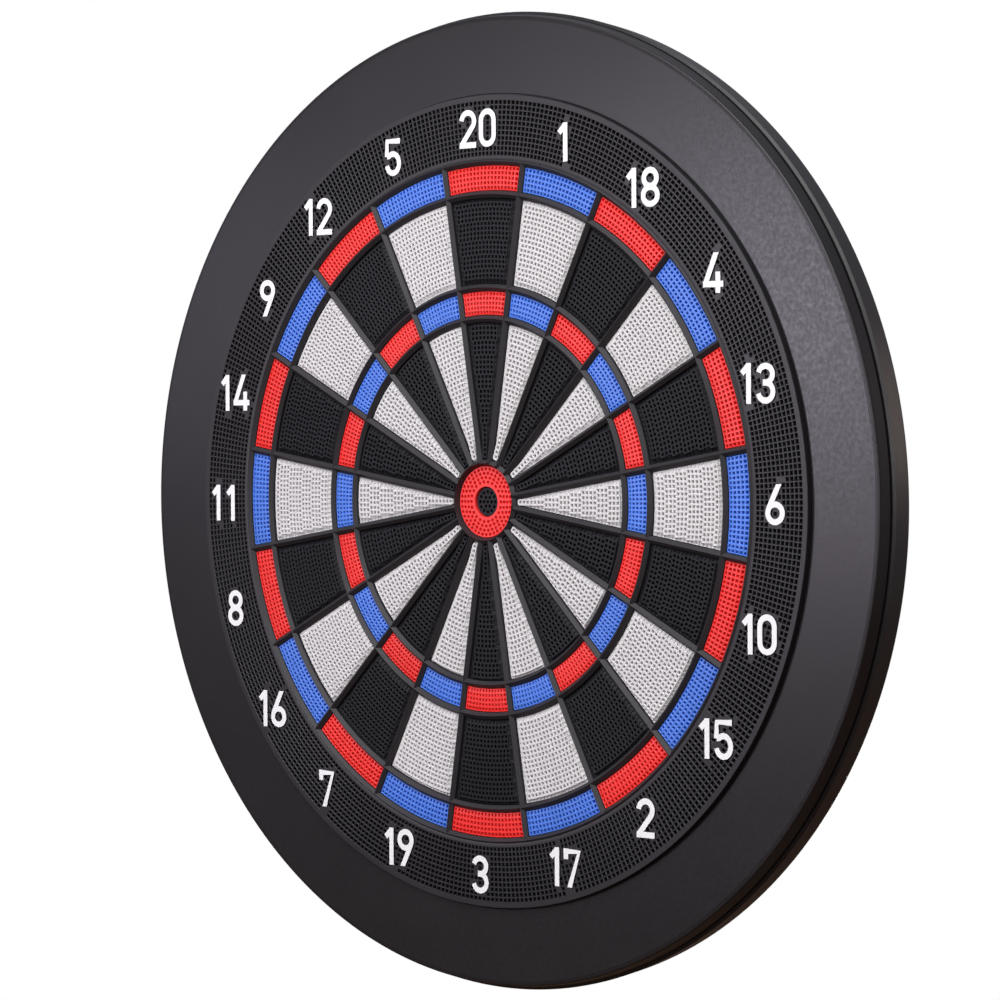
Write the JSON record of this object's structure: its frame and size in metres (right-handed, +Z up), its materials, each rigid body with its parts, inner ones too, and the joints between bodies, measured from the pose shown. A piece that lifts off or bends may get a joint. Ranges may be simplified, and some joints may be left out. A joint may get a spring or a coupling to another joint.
{
  "type": "electronic dartboard",
  "caption": "Round electronic soft-tip dartboard: a ridged spider over sprung perforated scoring beds, a number ring and a flat two-part black case that hangs on a wall.",
  "frame": {"origin": "on the board's axis, in the plane of the wall, at the middle of the flat pad on the back", "axes": "+X to the right seen from the front, +Z up, -Y out of the board's face towards the player, +Y into the wall"},
  "size_m": [0.572, 0.032, 0.572],
  "materials": {
    "front_case": "fine matte moulded black ABS",
    "rear_case": "matte moulded black ABS",
    "number_ring": "matte black perforated ABS",
    "spider": "satin dark grey-black nylon",
    "segment_mat": "matte black silicone rubber",
    "bed_red": "satin red moulded plastic",
    "bed_blue": "satin blue moulded plastic",
    "bed_black": "satin black moulded plastic",
    "sensor_film": "translucent polyester film",
    "support_plate": "grey moulded plate",
    "circuit_board": "green solder mask on glass-fibre board",
    "film_tail": "amber polyimide strip",
    "battery_jacket": "plain grey jacket",
    "button": "matte grey moulded button",
    "foot_rubber": "matte black rubber"
  },
  "bodies": {
    "case": {"rear_cover": "rear_case", "front_surround": "front_case", "number_ring": "number_ring", "spider": "spider", "segment_mat": "segment_mat", "sensor_film": "sensor_film", "support_plate": "support_plate", "control_board": "circuit_board", "film_tail": "film_tail", "battery_cell_1": "battery_jacket", "battery_cell_2": "battery_jacket", "battery_cell_3": "battery_jacket", "wall_foot_1": "foot_rubber", "wall_foot_2": "foot_rubber", "wall_foot_3": "foot_rubber"},
    "battery_door": {"battery_door": "rear_case"},
    "power_button": {"power_button": "button"},
    "bull_inner": {"bull_inner": "bed_black"},
    "bull_outer": {"bull_outer": "bed_red"},
    "double_20": {"double_20": "bed_red"},
    "double_01": {"double_01": "bed_blue"},
    "double_18": {"double_18": "bed_red"},
    "double_04": {"double_04": "bed_blue"},
    "double_13": {"double_13": "bed_red"},
    "double_06": {"double_06": "bed_blue"},
    "double_10": {"double_10": "bed_red"},
    "double_15": {"double_15": "bed_blue"},
    "double_02": {"double_02": "bed_red"},
    "double_17": {"double_17": "bed_blue"},
    "double_03": {"double_03": "bed_red"},
    "double_19": {"double_19": "bed_blue"},
    "double_07": {"double_07": "bed_red"},
    "double_16": {"double_16": "bed_blue"},
    "double_08": {"double_08": "bed_red"},
    "double_11": {"double_11": "bed_blue"},
    "double_14": {"double_14": "bed_red"},
    "double_09": {"double_09": "bed_blue"},
    "double_12": {"double_12": "bed_red"},
    "double_05": {"double_05": "bed_blue"},
    "triple_20": {"triple_20": "bed_red"},
    "triple_01": {"triple_01": "bed_blue"},
    "triple_18": {"triple_18": "bed_red"},
    "triple_04": {"triple_04": "bed_blue"},
    "triple_13": {"triple_13": "bed_red"},
    "triple_06": {"triple_06": "bed_blue"},
    "triple_10": {"triple_10": "bed_red"},
    "triple_15": {"triple_15": "bed_blue"},
    "triple_02": {"triple_02": "bed_red"},
    "triple_17": {"triple_17": "bed_blue"},
    "triple_03": {"triple_03": "bed_red"},
    "triple_19": {"triple_19": "bed_blue"},
    "triple_07": {"triple_07": "bed_red"},
    "triple_16": {"triple_16": "bed_blue"},
    "triple_08": {"triple_08": "bed_red"},
    "triple_11": {"triple_11": "bed_blue"},
    "triple_14": {"triple_14": "bed_red"},
    "triple_09": {"triple_09": "bed_blue"},
    "triple_12": {"triple_12": "bed_red"},
    "triple_05": {"triple_05": "bed_blue"}
  },
  "joints": [
    {"name": "battery_door_hinge", "type": "hinge", "parent": "case", "child": "battery_door", "pos_m": [0, -0.003, -0.2437], "axis": [1, 0, 0], "range_deg": [0, 110]},
    {"name": "power_button_press", "type": "slide", "parent": "case", "child": "power_button", "axis": [0, -1, 0], "range_m": [0, 0.0008], "stiffness_N_per_m": 600},
    {"name": "bull_inner_press", "type": "slide", "parent": "case", "child": "bull_inner", "axis": [0, 1, 0], "range_m": [0, 0.0012], "stiffness_N_per_m": 500},
    {"name": "bull_outer_press", "type": "slide", "parent": "case", "child": "bull_outer", "axis": [0, 1, 0], "range_m": [0, 0.0012], "stiffness_N_per_m": 500},
    {"name": "double_20_press", "type": "slide", "parent": "case", "child": "double_20", "axis": [0, 1, 0], "range_m": [0, 0.0012], "stiffness_N_per_m": 500},
    {"name": "double_01_press", "type": "slide", "parent": "case", "child": "double_01", "axis": [0, 1, 0], "range_m": [0, 0.0012], "stiffness_N_per_m": 500},
    {"name": "double_18_press", "type": "slide", "parent": "case", "child": "double_18", "axis": [0, 1, 0], "range_m": [0, 0.0012], "stiffness_N_per_m": 500},
    {"name": "double_04_press", "type": "slide", "parent": "case", "child": "double_04", "axis": [0, 1, 0], "range_m": [0, 0.0012], "stiffness_N_per_m": 500},
    {"name": "double_13_press", "type": "slide", "parent": "case", "child": "double_13", "axis": [0, 1, 0], "range_m": [0, 0.0012], "stiffness_N_per_m": 500},
    {"name": "double_06_press", "type": "slide", "parent": "case", "child": "double_06", "axis": [0, 1, 0], "range_m": [0, 0.0012], "stiffness_N_per_m": 500},
    {"name": "double_10_press", "type": "slide", "parent": "case", "child": "double_10", "axis": [0, 1, 0], "range_m": [0, 0.0012], "stiffness_N_per_m": 500},
    {"name": "double_15_press", "type": "slide", "parent": "case", "child": "double_15", "axis": [0, 1, 0], "range_m": [0, 0.0012], "stiffness_N_per_m": 500},
    {"name": "double_02_press", "type": "slide", "parent": "case", "child": "double_02", "axis": [0, 1, 0], "range_m": [0, 0.0012], "stiffness_N_per_m": 500},
    {"name": "double_17_press", "type": "slide", "parent": "case", "child": "double_17", "axis": [0, 1, 0], "range_m": [0, 0.0012], "stiffness_N_per_m": 500},
    {"name": "double_03_press", "type": "slide", "parent": "case", "child": "double_03", "axis": [0, 1, 0], "range_m": [0, 0.0012], "stiffness_N_per_m": 500},
    {"name": "double_19_press", "type": "slide", "parent": "case", "child": "double_19", "axis": [0, 1, 0], "range_m": [0, 0.0012], "stiffness_N_per_m": 500},
    {"name": "double_07_press", "type": "slide", "parent": "case", "child": "double_07", "axis": [0, 1, 0], "range_m": [0, 0.0012], "stiffness_N_per_m": 500},
    {"name": "double_16_press", "type": "slide", "parent": "case", "child": "double_16", "axis": [0, 1, 0], "range_m": [0, 0.0012], "stiffness_N_per_m": 500},
    {"name": "double_08_press", "type": "slide", "parent": "case", "child": "double_08", "axis": [0, 1, 0], "range_m": [0, 0.0012], "stiffness_N_per_m": 500},
    {"name": "double_11_press", "type": "slide", "parent": "case", "child": "double_11", "axis": [0, 1, 0], "range_m": [0, 0.0012], "stiffness_N_per_m": 500},
    {"name": "double_14_press", "type": "slide", "parent": "case", "child": "double_14", "axis": [0, 1, 0], "range_m": [0, 0.0012], "stiffness_N_per_m": 500},
    {"name": "double_09_press", "type": "slide", "parent": "case", "child": "double_09", "axis": [0, 1, 0], "range_m": [0, 0.0012], "stiffness_N_per_m": 500},
    {"name": "double_12_press", "type": "slide", "parent": "case", "child": "double_12", "axis": [0, 1, 0], "range_m": [0, 0.0012], "stiffness_N_per_m": 500},
    {"name": "double_05_press", "type": "slide", "parent": "case", "child": "double_05", "axis": [0, 1, 0], "range_m": [0, 0.0012], "stiffness_N_per_m": 500},
    {"name": "triple_20_press", "type": "slide", "parent": "case", "child": "triple_20", "axis": [0, 1, 0], "range_m": [0, 0.0012], "stiffness_N_per_m": 500},
    {"name": "triple_01_press", "type": "slide", "parent": "case", "child": "triple_01", "axis": [0, 1, 0], "range_m": [0, 0.0012], "stiffness_N_per_m": 500},
    {"name": "triple_18_press", "type": "slide", "parent": "case", "child": "triple_18", "axis": [0, 1, 0], "range_m": [0, 0.0012], "stiffness_N_per_m": 500},
    {"name": "triple_04_press", "type": "slide", "parent": "case", "child": "triple_04", "axis": [0, 1, 0], "range_m": [0, 0.0012], "stiffness_N_per_m": 500},
    {"name": "triple_13_press", "type": "slide", "parent": "case", "child": "triple_13", "axis": [0, 1, 0], "range_m": [0, 0.0012], "stiffness_N_per_m": 500},
    {"name": "triple_06_press", "type": "slide", "parent": "case", "child": "triple_06", "axis": [0, 1, 0], "range_m": [0, 0.0012], "stiffness_N_per_m": 500},
    {"name": "triple_10_press", "type": "slide", "parent": "case", "child": "triple_10", "axis": [0, 1, 0], "range_m": [0, 0.0012], "stiffness_N_per_m": 500},
    {"name": "triple_15_press", "type": "slide", "parent": "case", "child": "triple_15", "axis": [0, 1, 0], "range_m": [0, 0.0012], "stiffness_N_per_m": 500},
    {"name": "triple_02_press", "type": "slide", "parent": "case", "child": "triple_02", "axis": [0, 1, 0], "range_m": [0, 0.0012], "stiffness_N_per_m": 500},
    {"name": "triple_17_press", "type": "slide", "parent": "case", "child": "triple_17", "axis": [0, 1, 0], "range_m": [0, 0.0012], "stiffness_N_per_m": 500},
    {"name": "triple_03_press", "type": "slide", "parent": "case", "child": "triple_03", "axis": [0, 1, 0], "range_m": [0, 0.0012], "stiffness_N_per_m": 500},
    {"name": "triple_19_press", "type": "slide", "parent": "case", "child": "triple_19", "axis": [0, 1, 0], "range_m": [0, 0.0012], "stiffness_N_per_m": 500},
    {"name": "triple_07_press", "type": "slide", "parent": "case", "child": "triple_07", "axis": [0, 1, 0], "range_m": [0, 0.0012], "stiffness_N_per_m": 500},
    {"name": "triple_16_press", "type": "slide", "parent": "case", "child": "triple_16", "axis": [0, 1, 0], "range_m": [0, 0.0012], "stiffness_N_per_m": 500},
    {"name": "triple_08_press", "type": "slide", "parent": "case", "child": "triple_08", "axis": [0, 1, 0], "range_m": [0, 0.0012], "stiffness_N_per_m": 500},
    {"name": "triple_11_press", "type": "slide", "parent": "case", "child": "triple_11", "axis": [0, 1, 0], "range_m": [0, 0.0012], "stiffness_N_per_m": 500},
    {"name": "triple_14_press", "type": "slide", "parent": "case", "child": "triple_14", "axis": [0, 1, 0], "range_m": [0, 0.0012], "stiffness_N_per_m": 500},
    {"name": "triple_09_press", "type": "slide", "parent": "case", "child": "triple_09", "axis": [0, 1, 0], "range_m": [0, 0.0012], "stiffness_N_per_m": 500},
    {"name": "triple_12_press", "type": "slide", "parent": "case", "child": "triple_12", "axis": [0, 1, 0], "range_m": [0, 0.0012], "stiffness_N_per_m": 500},
    {"name": "triple_05_press", "type": "slide", "parent": "case", "child": "triple_05", "axis": [0, 1, 0], "range_m": [0, 0.0012], "stiffness_N_per_m": 500}
  ]
}
